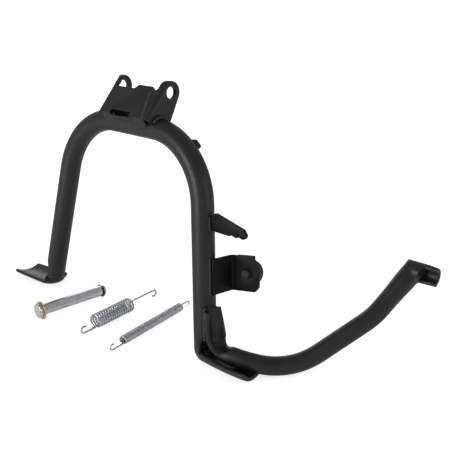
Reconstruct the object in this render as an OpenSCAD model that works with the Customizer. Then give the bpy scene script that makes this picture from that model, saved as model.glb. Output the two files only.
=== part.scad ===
// Centre stand of a light motorcycle: a bent tube arch with pressed feet, a foot lever,
// a pivot bracket, a spring lug and a rubber bumper, with its pivot pin and its two
// return springs laid loose on the ground in front of it. Millimetres, +Z up.
// The origin is the middle of the pivot axis, +X runs along that axis, +Y to the rear.

/* [Arch tube] */
// Outside diameter of the arch tube
tube_d = 22; // [20:0.5:25]
// Wall of the arch tube
tube_wall = 2; // [1.5:0.1:2.5]
// Height of the pivot axis above the top bar's centreline
pivot_rise = 36.1; // [34:0.1:40]
// Distance of the pivot axis behind the plane of the arch
pivot_back = 11.7; // [9:0.1:14]
// Height of the top bar's centreline above the soles of the feet
arch_h = 213.9; // [190:0.1:260]
// Half the distance between the leg centrelines at the soles
leg_half = 127.6; // [115:0.1:145]
// Angle at which each leg splays outwards
splay = 8.85; // [6:0.05:12]
// Bend radius of the shoulders, on the centreline
shoulder_r = 74.6; // [60:0.1:80]
// Angle at which the stand leans to the rear when it carries the machine
lean = 8.85; // [4:0.05:12]

/* [Feet] */
// Reach of each foot beyond its leg's centreline at the sole
foot_reach = 57.4; // [45:0.1:70]
// Thickness of a pressed foot, two walls laid on each other
foot_t = 4; // [3:0.1:5]
// Outside radius of the foot's trough at the tip
foot_r = 34; // [28:0.5:40]
// Bend radius on the outside of the ankle
ankle_r = 15; // [14:0.5:20]

/* [Foot lever] */
// Outside diameter of the lever tube
lever_d = 18; // [16:0.5:19]
// Wall of the lever tube
lever_wall = 2; // [1.5:0.1:2.5]
// Height of the lever's saddle top above the soles
saddle_h = 54.5; // [50:0.5:75]
// Bend radii of the lever, from the saddle to the foot pad
lever_radii = [18, 40, 70, 80, 10];
// Length of the foot pad beyond the last bend
pad_len = 23; // [18:0.5:35]
// Outside radius of the saddle's trough
saddle_r = 15; // [13:0.5:30]
// Outside radius of the foot pad's trough
pad_r = 9.5; // [9:0.5:18]

/* [Pivot bracket] */
// Thickness of the bracket's plates
plate_t = 4; // [3:0.5:5]
// Width over both ears
ear_span = 76; // [70:0.5:84]
// Radius of an ear's round head
eye_r = 11.5; // [10.5:0.1:13]
// Diameter of the pivot bores
bore_d = 12.5; // [12.4:0.1:13]
// Angle of the bracket's front face from the arch's plane
web_lean = 33; // [28:0.5:38]
// Outside radius of the folds between web and ears
fold_out = 6; // [4.5:0.5:8]
// Height of the web's lower edge, from the pivot axis
web_low = -26; // [-27:0.5:-24]
// Depth of the raised step in the web's top edge
step_rise = 4.6; // [3:0.1:6]
// Height of the relief slot in the web's lower edge
slot_h = 4; // [2:0.5:5]
// Width of the weld beads
bead = 3.2; // [2:0.1:5]

/* [Spring lug] */
// Thickness of the spring lug
lug_t = 4; // [3:0.5:6]
// Reach of the lug beyond the leg's surface
lug_reach = 38; // [30:0.5:45]
// Height of the lug's root above the soles
lug_h = 130.4; // [120:0.1:140]

/* [Bumper] */
// Thickness of the bumper bracket's sheet
sheet_t = 3; // [2:0.5:4]
// Height of the bumper's axis above the soles
bumper_h = 84.4; // [78:0.1:95]
// Height of the bumper plate along the leg
bumper_plate_h = 35; // [32:0.5:42]
// Width of the bumper plate
bumper_plate_w = 27; // [24:0.5:34]
// Distance of the bumper plate behind the leg's centreline
bumper_back = 29; // [22:0.5:34]
// Angle at which the bumper plate is folded open beyond square
bumper_open = 12; // [0:1:20]
// Diameter of the rubber dome
dome_d = 26; // [22:0.5:30]
// Height of the rubber dome
dome_h = 16; // [12:0.5:20]
// Diameter of the rubber's neck through the plate
neck_d = 8; // [6:0.5:10]

/* [Pivot pin] */
// Diameter of the pin
pin_d = 12; // [11.8:0.05:12.2]
// Diameter of the pin's head
pin_head_d = 16.4; // [15:0.1:18]
// Thickness of the pin's head
pin_head_t = 3.5; // [2.5:0.1:5]
// Length of pin beyond the clip's groove
pin_tail = 3; // [2:0.5:5]
// Outside diameter of the washer
washer_d = 20.8; // [19:0.1:24]
// Thickness of the washer
washer_t = 1.6; // [1:0.1:2.5]
// Outside diameter of the retaining clip
clip_d = 15; // [14:0.1:17]
// Thickness of the retaining clip
clip_t = 1.2; // [1:0.1:1.5]
// Free play of the pin between its washer and clip when fitted
pin_play = 0.4; // [0.2:0.1:1]

/* [Large spring] */
// Outside diameter of the large spring's coil
large_d = 16; // [14:0.5:18]
// Wire of the large spring
large_wire = 2.2; // [1.8:0.1:2.4]
// Turns of the large spring
large_turns = 16; // [12:1:20]
// Gap between the large spring's turns
large_gap = 1; // [0.3:0.1:1.5]

/* [Small spring] */
// Outside diameter of the small spring's coil
small_d = 9.5; // [8.5:0.5:11]
// Wire of the small spring
small_wire = 1.7; // [1.4:0.1:1.8]
// Turns of the small spring
small_turns = 50; // [40:1:54]
// Gap between the small spring's turns
small_gap = 0.12; // [0.1:0.02:0.4]

/* [Hidden] */
$fn = 48;

black_paint = [0.17, 0.17, 0.17];
weld_paint = [0.22, 0.21, 0.2];
rubber_black = [0.12, 0.12, 0.12];
bright_zinc = [0.8, 0.82, 0.84];
yellow_zinc = [0.8, 0.72, 0.5];
clip_black = [0.2, 0.2, 0.22];

// The stand's own frame has its origin at the pivot, with z along the arch's plane
tube_r = tube_d / 2;
lever_r = lever_d / 2;
arch_y = -pivot_back;
bar_z = -pivot_rise;
sole_z = bar_z - arch_h;
ear_in = ear_span / 2 - plate_t;
ear_out = ear_span / 2;

// Vector helpers
function unit(v) = v / norm(v);
function mix(a, b, k) = a * (1 - k) + b * k;
function ease(k) = let (c = max(0, min(1, k))) c * c * (3 - 2 * c);
function square_to(v, t) = unit(v - t * (v * t));
function leant(p) = [p.x, p.y * cos(lean) + p.z * sin(lean), p.z * cos(lean) - p.y * sin(lean)];

// A leg's centreline, and the right leg's frame at a height z
function leg_x(z) = leg_half - tan(splay) * (z - sole_z);
module on_leg(z) {
    translate([leg_x(z), arch_y, z]) rotate([0, -splay, 0]) children();
}
module in_stand() {
    rotate([-lean, 0, 0]) children();
}

// The ground lies under the round of the leaning feet
ground_z = leant([0, arch_y, sole_z + foot_r]).z - foot_r;

// Bent round bar: straight cylinders joined by true elbows at the given corners
function bend_half(p, q, r) = acos(unit(p - q) * unit(r - q)) / 2;
function bend_in(p, q, r, rad) = q + unit(p - q) * rad / tan(bend_half(p, q, r));
function bend_out(p, q, r, rad) = q + unit(r - q) * rad / tan(bend_half(p, q, r));
function bend_centre(p, q, r, rad) =
    q + unit(unit(p - q) + unit(r - q)) * rad / sin(bend_half(p, q, r));

module straight_bar(a, b, d) {
    v = b - a;
    translate(a)
        rotate([0, acos(v.z / norm(v)), atan2(v.y, v.x)])
            cylinder(h = norm(v), d = d);
}

module elbow(p, q, r, rad, d) {
    c = bend_centre(p, q, r, rad);
    x = unit(bend_in(p, q, r, rad) - c);
    z = unit(cross(x, bend_out(p, q, r, rad) - c));
    y = cross(z, x);
    multmatrix([[x.x, y.x, z.x, c.x], [x.y, y.y, z.y, c.y], [x.z, y.z, z.z, c.z], [0, 0, 0, 1]])
        rotate_extrude(angle = 180 - 2 * bend_half(p, q, r))
            translate([rad, 0]) circle(d = d);
}

// The straights are a hair slimmer than the elbows and reach a little way into them
seat = 0.1;
seat_len = 0.4;
module bent_bar(p, rad, d) {
    last = len(p) - 1;
    for (i = [0 : last - 1])
        let (v = unit(p[i + 1] - p[i]) * seat_len)
            straight_bar(i == 0 ? p[0] : bend_out(p[i - 1], p[i], p[i + 1], rad[i - 1]) - v,
                         i == last - 1 ? p[last] : bend_in(p[i], p[i + 1], p[i + 2], rad[i]) + v, d - seat);
    for (i = [1 : last - 1])
        elbow(p[i - 1], p[i], p[i + 1], rad[i - 1], d);
}

module bent_tube(p, rad, d, wall) {
    last = len(p) - 1;
    first = p[0] + unit(p[0] - p[1]);
    end = p[last] + unit(p[last] - p[last - 1]);
    difference() {
        bent_bar(p, rad, d);
        bent_bar([for (i = [0 : last]) i == 0 ? first : i == last ? end : p[i]], rad, d - 2 * wall);
    }
}

// Pressed tube end. A ring of 24 points turns from a circle into a trough, whose convex
// back stays on the generator line: u runs across the trough, v away from its back.
ring_n = 24;
rim_turn = 75;
function ring_turn(j) = j * 360 / ring_n - 180;
function trough_half(r_end, r_tube) = min(90, 90 * r_tube / r_end);
function trough_point(a, half, r_back, r_front, rim) =
    abs(a) <= rim_turn ? let (s = a / rim_turn * half) [r_back * sin(s), -r_back * cos(s)]
    : abs(a) < 180 - rim_turn ? let (s = sign(a) * half, m = (r_back + r_front) / 2)
        [m * sin(s) + sign(a) * rim * cos(s), -m * cos(s) + rim * abs(sin(s))]
    : let (s = sign(a) * (180 - abs(a)) / rim_turn * half) [r_front * sin(s), -r_front * cos(s)];
function pressed_ring(press, r_end, r_tube, t) = [
    for (j = [0 : ring_n - 1])
        let (a = ring_turn(j), p = trough_point(a, trough_half(r_end, r_tube), r_end, r_end - t, t / 2.6))
            mix([r_tube * sin(a), r_tube - r_tube * cos(a)], p + [0, r_end], press)];
function hollow_ring(press, r_end, r_tube, t, wall) = [
    for (j = [0 : ring_n - 1])
        let (a = ring_turn(j), h = trough_half(r_end, r_tube) * 0.93, m = r_end - t / 2,
             p = trough_point(a, h, m + 0.05, m - 0.05, 0.02), r = r_tube - wall)
            mix([r * sin(a), r_tube - r * cos(a)], p + [0, r_end], press)];

// A station is [back point, direction, direction to the open side, press, end radius]
function placed(s, ring, k) =
    let (u = cross(s[2], s[1]))
        [for (p = ring) s[0] + u * p.x * k + s[2] * (s[5] + (p.y - s[5]) * k)];
// End faces: a fan on a round wire, a strip from rim to rim on a trough
function fan(n) = [for (i = [1 : n - 2]) [0, i, i + 1]];
function strip(n) = [for (i = [0 : n / 2 - 1])
    let (a = n / 4 + i, b = n / 4 - i + n)
        each concat(i < n / 2 - 1 ? [[a, a + 1, (b - 1) % n]] : [], i > 0 ? [[a, (b - 1) % n, b % n]] : [])];
module skin(rings) {
    n = len(rings[0]);
    m = len(rings);
    end = n < ring_n ? fan(n) : strip(n);
    polyhedron(
        points = [for (r = rings) each r],
        faces = concat(
            end,
            [for (i = [0 : m - 2], j = [0 : n - 1])
                each [[i * n + j, (i + 1) * n + j, (i + 1) * n + (j + 1) % n],
                      [i * n + j, (i + 1) * n + (j + 1) % n, i * n + (j + 1) % n]]],
            [for (f = end) [for (j = [2 : -1 : 0]) (m - 1) * n + f[j]]]));
}
module pressed_end(st, r_tube, wall, t) {
    inner = [for (s = st) if (s[3] < 0.8) s];
    difference() {
        skin([for (s = st) placed(s, pressed_ring(s[3], s[4], r_tube, t), 0.985)]);
        skin([for (i = [0 : len(inner) - 1])
            let (s = inner[i], back = i == 0 ? s[1] * -0.5 : [0, 0, 0])
                [for (p = placed(s, hollow_ring(s[3], s[4], r_tube, t, wall), s[3] == 0 ? 1.017 : 1))
                    p + back]]);
    }
}

// Foot: the back line runs down the inboard side of the leg, round the ankle and outwards
collar = 1.5;
ankle_turn = 90 - splay;
ankle_len = ankle_r * tan(ankle_turn / 2);
press_run = 20;
foot_tip = leg_half + foot_reach;
leg_down = [sin(splay), 0, -cos(splay)];
leg_out = [cos(splay), 0, sin(splay)];
ankle = [leg_half - tube_r / cos(splay), arch_y, sole_z];
ankle_start = ankle - leg_down * ankle_len;
ankle_mid = ankle_start + leg_out * ankle_r;
ankle_end = ankle + [ankle_len, 0, 0];
function foot_open(k) = mix(tube_r, foot_r, ease(k));
foot_stations = concat(
    [for (k = [0, 0.08, 0.4, 0.7, 1])
        [ankle_start - leg_down * press_run * (1 - k) , leg_down, leg_out,
         k < 0.1 ? 0 : 0.5 * ease(k), tube_r, tube_r]],
    [for (k = [0.2 : 0.2 : 1])
        let (a = -ankle_turn * (1 - k), n = [-sin(a), 0, cos(a)])
            [ankle_mid - n * ankle_r, [cos(a), 0, sin(a)], n,
             min(1, 0.5 + 0.7 * k), foot_open(0.35 * k), tube_r]],
    [for (k = [0.25 : 0.25 : 1])
        [[mix(ankle_end.x, foot_tip, k), arch_y, sole_z], [1, 0, 0], [0, 0, 1],
         1, foot_open(0.35 + 0.75 * k), tube_r]]);

module foot() {
    pressed_end(foot_stations, tube_r, tube_wall, foot_t);
}

// Arch
function leg_point(s, z) = [s * leg_x(z), arch_y, z];
tube_end = foot_stations[1][0] + leg_out * tube_r;
arch_route = [
    leg_point(-1, tube_end.z), leg_point(-1, bar_z), leg_point(1, bar_z), leg_point(1, tube_end.z)];

module arch_tube() {
    color(black_paint) difference() {
        in_stand() {
            bent_tube(arch_route, [shoulder_r, shoulder_r], tube_d, tube_wall);
            foot();
            mirror([1, 0, 0]) foot();
        }
        bent_bar(lever_route, lever_radii, lever_d);
    }
}

// Foot lever: down the outside of the right leg, out over the foot, then up to the rear
saddle_z = sole_z + saddle_h;
heel_z = sole_z + 14.1;
foot_ref = leant([leg_half, arch_y, sole_z]);
saddle_turn = 20;
function leg_side(turn) = leg_out * cos(turn) - [0, sin(turn), 0];
function beside_leg(z, turn) = leant(leg_point(1, z) + leg_side(turn) * (tube_r + lever_r));
lever_route = [
    beside_leg(saddle_z, saddle_turn),
    beside_leg(heel_z, saddle_turn / 2),
    [foot_ref.x + 44.9, foot_ref.y + 9, ground_z + lever_r + 4.9],
    [foot_ref.x + 76.8, foot_ref.y + 36.2, ground_z + lever_r - 5.7],
    [foot_ref.x + 126.2, foot_ref.y + 95.6, ground_z + lever_r + 46.4],
    [foot_ref.x + 143.7, foot_ref.y + 130.9, ground_z + lever_r + 86.1],
    [foot_ref.x + 143.7 + pad_len, foot_ref.y + 130.9, ground_z + lever_r + 86.1]];
saddle_out = leant(leg_side(saddle_turn * 0.8));
saddle_dir = unit(lever_route[1] - lever_route[0]);
heel_in = bend_in(lever_route[0], lever_route[1], lever_route[2], lever_radii[0]);
heel_out = bend_out(lever_route[0], lever_route[1], lever_route[2], lever_radii[0]);
heel_mid = bend_centre(lever_route[0], lever_route[1], lever_route[2], lever_radii[0]);
lever_dir = unit(lever_route[2] - lever_route[1]);
heel_span = 2 * (90 - bend_half(lever_route[0], lever_route[1], lever_route[2]));
function on_arc(mid, a, b, span, k) =
    let (p = a - mid, q = b - mid) mid + (p * sin(span * (1 - k)) + q * sin(span * k)) / sin(span);
function arc_dir(mid, a, b, span, k) =
    let (p = a - mid, q = b - mid) unit(q * cos(span * k) - p * cos(span * (1 - k)));
// Station of the lever from its centre point, with its back one radius behind
function lever_station(c, t, n, press, r) =
    let (m = square_to(n, t)) [c - m * lever_r, t, m, press, r, lever_r];
function saddle_open(k) = mix(saddle_r, lever_r, ease(k));
saddle_stations = concat(
    [for (k = [0, 0.5, 1])
        lever_station(mix(lever_route[0], heel_in, k), saddle_dir, saddle_out, 1, saddle_open(0.4 * k))],
    [for (k = [0.2 : 0.2 : 1])
        let (c = on_arc(heel_mid, heel_in, heel_out, heel_span, k))
            lever_station(c, arc_dir(heel_mid, heel_in, heel_out, heel_span, k),
                          mix(saddle_out, unit(heel_mid - c), k), 1 - ease(k), saddle_open(0.4 + 0.6 * k))],
    [lever_station(heel_out + lever_dir * collar, lever_dir, unit(heel_mid - heel_out), 0, lever_r)]);

pad_in = bend_in(lever_route[4], lever_route[5], lever_route[6], lever_radii[4]);
pad_out = bend_out(lever_route[4], lever_route[5], lever_route[6], lever_radii[4]);
pad_mid = bend_centre(lever_route[4], lever_route[5], lever_route[6], lever_radii[4]);
pad_span = 2 * (90 - bend_half(lever_route[4], lever_route[5], lever_route[6]));
rise_dir = unit(lever_route[5] - lever_route[4]);
pad_face = [0, -1, -0.12];
pad_run = 4;
function pad_open(k) = mix(lever_r, pad_r, ease(k));
pad_stations = concat(
    [for (k = [1.4, 1, 0])
        lever_station(pad_in - rise_dir * pad_run * k, rise_dir, unit(pad_mid - pad_in),
                      0.03 * ease(1 - k), lever_r)],
    [for (k = [0.2 : 0.2 : 1])
        let (c = on_arc(pad_mid, pad_in, pad_out, pad_span, k))
            lever_station(c, arc_dir(pad_mid, pad_in, pad_out, pad_span, k),
                          mix(unit(pad_mid - c), pad_face, ease(k)), ease(k / 0.6 + 0.05), pad_open(k / 2))],
    [for (k = [0.5, 1])
        lever_station(mix(pad_out, lever_route[6], k), [1, 0, 0], pad_face, 1, pad_open(0.5 + k / 2))]);

function reversed(v) = [for (i = [len(v) - 1 : -1 : 0]) v[i]];
function turned(s) = [s[0], -s[1], s[2], s[3], s[4], s[5]];
saddle_from_tube = [for (s = reversed(saddle_stations)) turned(s)];

module lever_tube() {
    tube_from = heel_out + lever_dir * 0.1;
    tube_to = pad_in - rise_dir * pad_run;
    color(black_paint) {
        bent_tube([tube_from, lever_route[2], lever_route[3], lever_route[4], tube_to],
                  [lever_radii[1], lever_radii[2], lever_radii[3]], lever_d, lever_wall);
        pressed_end(saddle_from_tube, lever_r, lever_wall, 2 * lever_wall);
        pressed_end(pad_stations, lever_r, lever_wall, 2 * lever_wall);
    }
}

// Welds of the saddle, in the two hollows between its back and the leg
module saddle_weld(s) {
    low = sole_z + 24;
    back = saddle_open(0.1);
    color(weld_paint) in_stand() on_leg(low) rotate([0, 0, -saddle_turn * 0.85]) difference() {
        linear_extrude((saddle_z - low) / cos(splay) - 1)
            polygon([[tube_r - 1, s * 2], [tube_r + 1.6, s * 7.6], [tube_r - 3, s * 8.4],
                     [tube_r - 4, s * 4]]);
        translate([0, 0, -60]) cylinder(h = 140, d = tube_d - seat);
        translate([tube_r + back + 0.1, 0, -60]) cylinder(h = 140, r = back);
    }
}

module weld_saddle_front() {
    saddle_weld(-1);
}

module weld_saddle_rear() {
    saddle_weld(1);
}

// Pivot bracket: two folded plates, joined by a weld seam down the front. The front face
// touches the ears' round heads, and the ears are coped over the arch's top bar.
face_up = [sin(web_lean), cos(web_lean)];
face_out = [-cos(web_lean), sin(web_lean)];
face_low = face_out * eye_r + face_up * (web_low - face_out.y * eye_r) / face_up.y;
web_len = (0.3 - web_low) / cos(web_lean);
seam = [[31, -2], [24.5, web_len + 4]];
ear_back = [[-1.5, -32], [2.5, -28]];
function tangent_turn(p, r, s) = atan2(p.y, p.x) + s * acos(r / norm(p));
module on_face() {
    translate([0, face_low.x, face_low.y]) rotate([-web_lean, 0, 0]) children();
}
// Folded section, from a point on the web to the end of an ear
function fold_arc(w, r, n) = [for (i = [0 : n]) let (a = 90 * i / n) [w - r + r * sin(a), r - r * cos(a)]];
module folded_plate(from) {
    t = plate_t;
    on_face() translate([0, 0, -8]) linear_extrude(70)
        polygon(concat([[from, 0]], fold_arc(ear_out, fold_out, 6), [[ear_out, 60], [ear_in, 60]],
                       [for (p = reversed(fold_arc(ear_in, fold_out - t, 6))) p + [0, t]], [[from, t]]));
}
module ear_side() {
    back = tangent_turn(ear_back[1], eye_r, 1);
    foot = [face_low, [arch_y - 9.5, bar_z + 4.5], [arch_y, bar_z + 3]];
    translate([-1, 0, 0]) rotate([90, 0, 90]) linear_extrude(ear_out + 2) {
        circle(r = eye_r);
        polygon(concat([face_out * (eye_r + 2), face_low + face_out * 2], foot, ear_back,
                       [eye_r * [cos(back), sin(back)]]));
    }
}
module half_bracket(from) {
    difference() {
        intersection() {
            folded_plate(from);
            ear_side();
        }
        translate([-1, 0, 0]) rotate([0, 90, 0]) cylinder(h = ear_out + 2, d = bore_d);
        bent_bar(arch_route, [shoulder_r, shoulder_r], tube_d);
    }
}
// What is cut from the front: the open top between the ears, and the relief slot
step_x = [-1.7, 2.6, 22.7, 27];
module front_cut() {
    rim = 31;
    on_face() translate([0, 60, 0]) rotate([90, 0, 0]) linear_extrude(70) {
        polygon([[-rim, web_len + 2], [-rim + 2, web_len], [step_x[0], web_len],
                 [step_x[1], web_len + step_rise], [step_x[2], web_len + step_rise],
                 [step_x[3], web_len + 1], [rim - 2, web_len + 1],
                 [rim, web_len + 3], [rim, 70], [-rim, 70]]);
        polygon([[-17, -8], [12, -8], [12, slot_h], [-17, slot_h]]);
    }
}
// Everything on the left (-1) or the right (1) of the seam
module seam_side(s) {
    on_face() translate([0, 60, 0]) rotate([90, 0, 0]) linear_extrude(70) {
        polygon([[s * 60, -20], [seam[0].x + 4.5, -20], seam[0] + [0, 2], seam[1], [seam[1].x - 4.5, 70],
                 [s * 60, 70]]);
    }
}

module pivot_bracket_right() {
    color(black_paint) in_stand() difference() {
        half_bracket(10);
        front_cut();
        seam_side(-1);
    }
}

module pivot_bracket_left() {
    color(black_paint) in_stand() difference() {
        union() {
            mirror([1, 0, 0]) half_bracket(0);
            half_bracket(0);
        }
        front_cut();
        seam_side(1);
    }
}

// Welds of the bracket. Each bead lies face to face on the pieces it joins.
module weld_bracket_seam() {
    top = seam[1] - [-0.2, 7];
    low = seam[0] + [0, 4];
    color(weld_paint) in_stand() difference() {
        on_face() straight_bar([low.x, 1, low.y], [top.x, 1, top.y], 2 * bead);
        on_face() translate([0, 0, -10]) cube([60, 10, 60]);
    }
}

module ear_weld() {
    translate([ear_out, arch_y, bar_z]) rotate([0, 90, 0]) rotate([0, 0, 125])
        rotate_extrude(angle = 105, $fn = 96) polygon([[tube_r, 0], [tube_r + bead, 0], [tube_r, 4]]);
}

module weld_bracket_right() {
    color(weld_paint) in_stand() ear_weld();
}

module weld_bracket_left() {
    color(weld_paint) in_stand() mirror([1, 0, 0]) ear_weld();
}

module web_weld(from, to) {
    difference() {
        translate([from, 0, 0]) rotate([90, 0, 90]) linear_extrude(to - from)
            polygon([face_low + face_up * 1.5, face_low + face_up * -1 + face_out * 0.5,
                     [arch_y - 14.5, bar_z + 2.5], [arch_y - 9, bar_z - 1], [arch_y - 4, bar_z + 6],
                     face_low + face_up * 3 - face_out * (plate_t + 2)]);
        on_face() translate([-60, 0, 0]) cube([120, plate_t, 60]);
        bent_bar(arch_route, [shoulder_r, shoulder_r], tube_d);
    }
}

module weld_web_left() {
    color(weld_paint) in_stand() web_weld(-ear_out + fold_out, -17);
}

module weld_web_right() {
    color(weld_paint) in_stand() web_weld(12, seam[0].x - 1);
}

// Spring lug: a tapering plate with two hook notches in its lower edge
module spring_lug() {
    root = sole_z + lug_h;
    color(black_paint) in_stand() difference() {
        translate([leg_x(root), arch_y + lug_t / 2, root]) rotate([90, 0, 0]) linear_extrude(lug_t)
            polygon([[4, 10], [9.2, 11.6], [lug_reach - 23, 17.3], [lug_reach + 11.5, 9.7],
                     [lug_reach + 15.4, 5.4], [lug_reach + 14.8, 2.2], [lug_reach + 12.4, 0.7],
                     [lug_reach + 7.3, 2], [lug_reach + 4.5, 0.3],
                     [lug_reach + 2, 0.7], [lug_reach - 1.1, 1.9], [lug_reach - 3.9, 0.1], [4, 0]]);
        on_leg(root) translate([0, 0, -60]) cylinder(h = 120, d = tube_d - seat);
    }
}

module lug_weld(s) {
    root = sole_z + lug_h;
    color(weld_paint) in_stand() on_leg(root) difference() {
        translate([0, s * (lug_t / 2 + 1.5), -1.5]) translate([tube_r - 3, -1.5, 0]) linear_extrude(12)
            polygon(s > 0 ? [[0, 0], [6.5, 0], [2.5, 3.2], [0, 3.2]]
                    : [[0, 3], [6.5, 3], [2.5, -0.2], [0, -0.2]]);
        translate([0, 0, -60]) cylinder(h = 120, d = tube_d - seat);
    }
}

module weld_lug_front() {
    lug_weld(-1);
}

module weld_lug_rear() {
    lug_weld(1);
}

// Bumper bracket: a sheet flange along the leg, folded out into a plate
fold_r = 5;
module bumper_frame() {
    on_leg(sole_z + bumper_h) children();
}
module on_bumper_plate() {
    translate([tube_r + fold_r, bumper_back - fold_r, 0]) rotate([0, 0, bumper_open])
        translate([0, fold_r, 0]) children();
}
plate_mid = bumper_plate_w / 2 + 0.5;
function fold_point(r, a) = [tube_r + fold_r + r * cos(a), bumper_back - fold_r + r * sin(a)];
function plate_point(x, y) =
    fold_point(0, 0) + [x * cos(bumper_open) - y * sin(bumper_open),
                        x * sin(bumper_open) + y * cos(bumper_open)];

module bumper_bracket() {
    w = bumper_plate_w;
    h = bumper_plate_h;
    fold = [for (i = [0 : 6]) 180 - i * (90 - bumper_open) / 6];
    t = sheet_t;
    color(black_paint) in_stand() bumper_frame() difference() {
        union() {
            translate([0, 0, -h / 2]) linear_extrude(h) polygon(concat(
                [[tube_r, -2]], [for (a = fold) fold_point(fold_r, a)],
                [plate_point(w, fold_r), plate_point(w, fold_r - t)],
                [for (a = reversed(fold)) fold_point(fold_r - t, a)], [[tube_r + t, -2]]));
            for (s = [0, 1])
                mirror([0, 0, s]) on_bumper_plate()
                    translate([3, 0, 0]) rotate([90, 0, 90]) linear_extrude(w - 9)
                        polygon([[0.3 - t, h / 2 - 4], [1.6, h / 2 + 0.3], [3.4, h / 2 - 1.7],
                                 [-0.3, h / 2 - 6]]);
        }
        on_bumper_plate() rotate([90, 0, 0]) translate([0, 0, -5]) linear_extrude(20) {
            polygon([[w - 6.5, h / 2 + 1], [w - 1.5, h / 2 - 9], [w + 1, h / 2 - 9], [w + 1, h / 2 + 1]]);
            polygon([[w - 5.2, -h / 2 - 1], [w + 1, -h / 2 + 6], [w + 2, -h / 2 - 1]]);
        }
        on_bumper_plate() translate([plate_mid, 1, 0]) rotate([90, 0, 0])
            cylinder(h = sheet_t + 2, d = neck_d + 0.4);
    }
}

module weld_bumper_bracket() {
    color(weld_paint) in_stand() bumper_frame() difference() {
        translate([0, 0, -bumper_plate_h / 2 + 1]) linear_extrude(bumper_plate_h - 2)
            polygon([[tube_r + sheet_t, -2], [tube_r + sheet_t - 1.2, -4.6], [tube_r - 2.5, -7.5],
                     [tube_r - 4, -2]]);
        translate([0, 0, -60]) cylinder(h = 120, d = tube_d - seat);
    }
}

// Rubber bumper: a dome behind the plate, a neck through it and a nub in front
module bumper_rubber() {
    color(rubber_black) in_stand() bumper_frame() on_bumper_plate()
        translate([plate_mid, 0, 0]) rotate([-90, 0, 0]) {
            rotate_extrude()
                polygon([[0, 0], [dome_d / 2 - 1, 0], [dome_d / 2, 1], [dome_d / 2, 5], [dome_d / 2 - 2, 9],
                         [dome_d / 2 - 5.5, 13], [dome_d / 2 - 9, dome_h - 0.6], [0, dome_h]]);
            translate([0, 0, -sheet_t]) cylinder(h = sheet_t, d = neck_d);
            translate([0, 0, -sheet_t - 4]) cylinder(h = 4, d1 = neck_d, d2 = neck_d + 2.5);
        }
}

// Stop tab behind the right shoulder
tab_turn = 53;
tab_rise = 6.4;
module on_shoulder() {
    translate([leg_x(bar_z) - shoulder_r * tan((90 - splay) / 2), arch_y, bar_z - shoulder_r])
        rotate([0, 90 - tab_turn, 0]) translate([0, 0, shoulder_r]) children();
}
module stop_tab() {
    color(black_paint) in_stand() difference() {
        on_shoulder() translate([-4.5, 2, tab_rise]) cube([9, 9.5, plate_t]);
        bent_bar(arch_route, [shoulder_r, shoulder_r], tube_d);
    }
}

module weld_stop_tab() {
    color(weld_paint) in_stand() difference() {
        on_shoulder() translate([-4, 0, 0]) rotate([90, 0, 90]) linear_extrude(8)
            polygon([[6, tab_rise], [11.4, tab_rise], [11.2, 3.4], [10.4, 1.4], [6, 1.4]]);
        bent_bar(arch_route, [shoulder_r, shoulder_r], tube_d);
    }
}

// Pivot pin, lying on its washer and its clip
pin_grip = ear_span + washer_t + pin_play;
groove_z = pin_head_t + pin_grip;
groove_d = 9.6;
pin_len = groove_z + clip_t + 0.1 + pin_tail;
washer_z = pin_head_t + 0.1;
axis_at_washer = washer_d / 2 - (bore_d - pin_d) / 2;
pin_tilt = atan((axis_at_washer - clip_d / 2) / (groove_z - washer_z));
module on_pin() {
    translate([-67, -112, ground_z + axis_at_washer])
        rotate([0, 0, -4.9]) rotate([-90 - pin_tilt, 0, 0]) children();
}

module pivot_pin() {
    color(bright_zinc) on_pin() difference() {
        union() {
            cylinder(h = 0.8, d1 = pin_head_d - 1.6, d2 = pin_head_d);
            translate([0, 0, 0.8]) cylinder(h = pin_head_t - 0.8, d = pin_head_d);
            cylinder(h = pin_len - 1, d = pin_d);
            translate([0, 0, pin_len - 1]) cylinder(h = 1, d1 = pin_d, d2 = pin_d - 2);
        }
        translate([0, 0, groove_z]) difference() {
            cylinder(h = clip_t + 0.1, d = pin_d + 2);
            translate([0, 0, -1]) cylinder(h = clip_t + 3, d = groove_d);
        }
    }
}

module pin_washer() {
    color(yellow_zinc) on_pin() translate([0, (bore_d - pin_d) / 2 - 0.01, washer_z]) difference() {
        cylinder(h = washer_t, d = washer_d);
        translate([0, 0, -1]) cylinder(h = washer_t + 2, d = bore_d);
    }
}

// E-clip: an open ring with three inner lobes
module pin_clip() {
    lobe = 3;
    color(clip_black) on_pin() translate([0, 0, groove_z + 0.05]) linear_extrude(clip_t) difference() {
        union() {
            difference() {
                circle(d = clip_d);
                circle(d = clip_d - 3.8);
            }
            intersection() {
                circle(d = clip_d - 1);
                for (a = [90, 210, 330])
                    rotate(a) translate([0, -lobe / 2]) square([clip_d / 2, lobe]);
            }
        }
        circle(d = groove_d + 0.1);
        rotate(-90) translate([0, -groove_d / 2 + 1.4]) square([clip_d, groove_d - 2.8]);
    }
}

// Springs: one wire swept along a near hook, the coil and a far hook
function carried(p) =
    let (k = len(p), t = [for (i = [0 : k - 1]) unit(p[min(i + 1, k - 1)] - p[max(i - 1, 0)])])
        [for (i = 0, n = square_to([0.31, 0.87, 0.38], t[0]); i < k;
              i = i + 1, n = i < k ? square_to(n, t[i]) : n) [t[i], n]];
module wire(p, d, sides) {
    f = carried(p);
    skin([for (i = [0 : len(p) - 1])
        let (n = f[i][1], b = cross(f[i][0], n))
            [for (j = [0 : sides - 1])
                let (a = -360 * j / sides) p[i] + (n * cos(a) + b * sin(a)) * d / 2]]);
}
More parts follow.
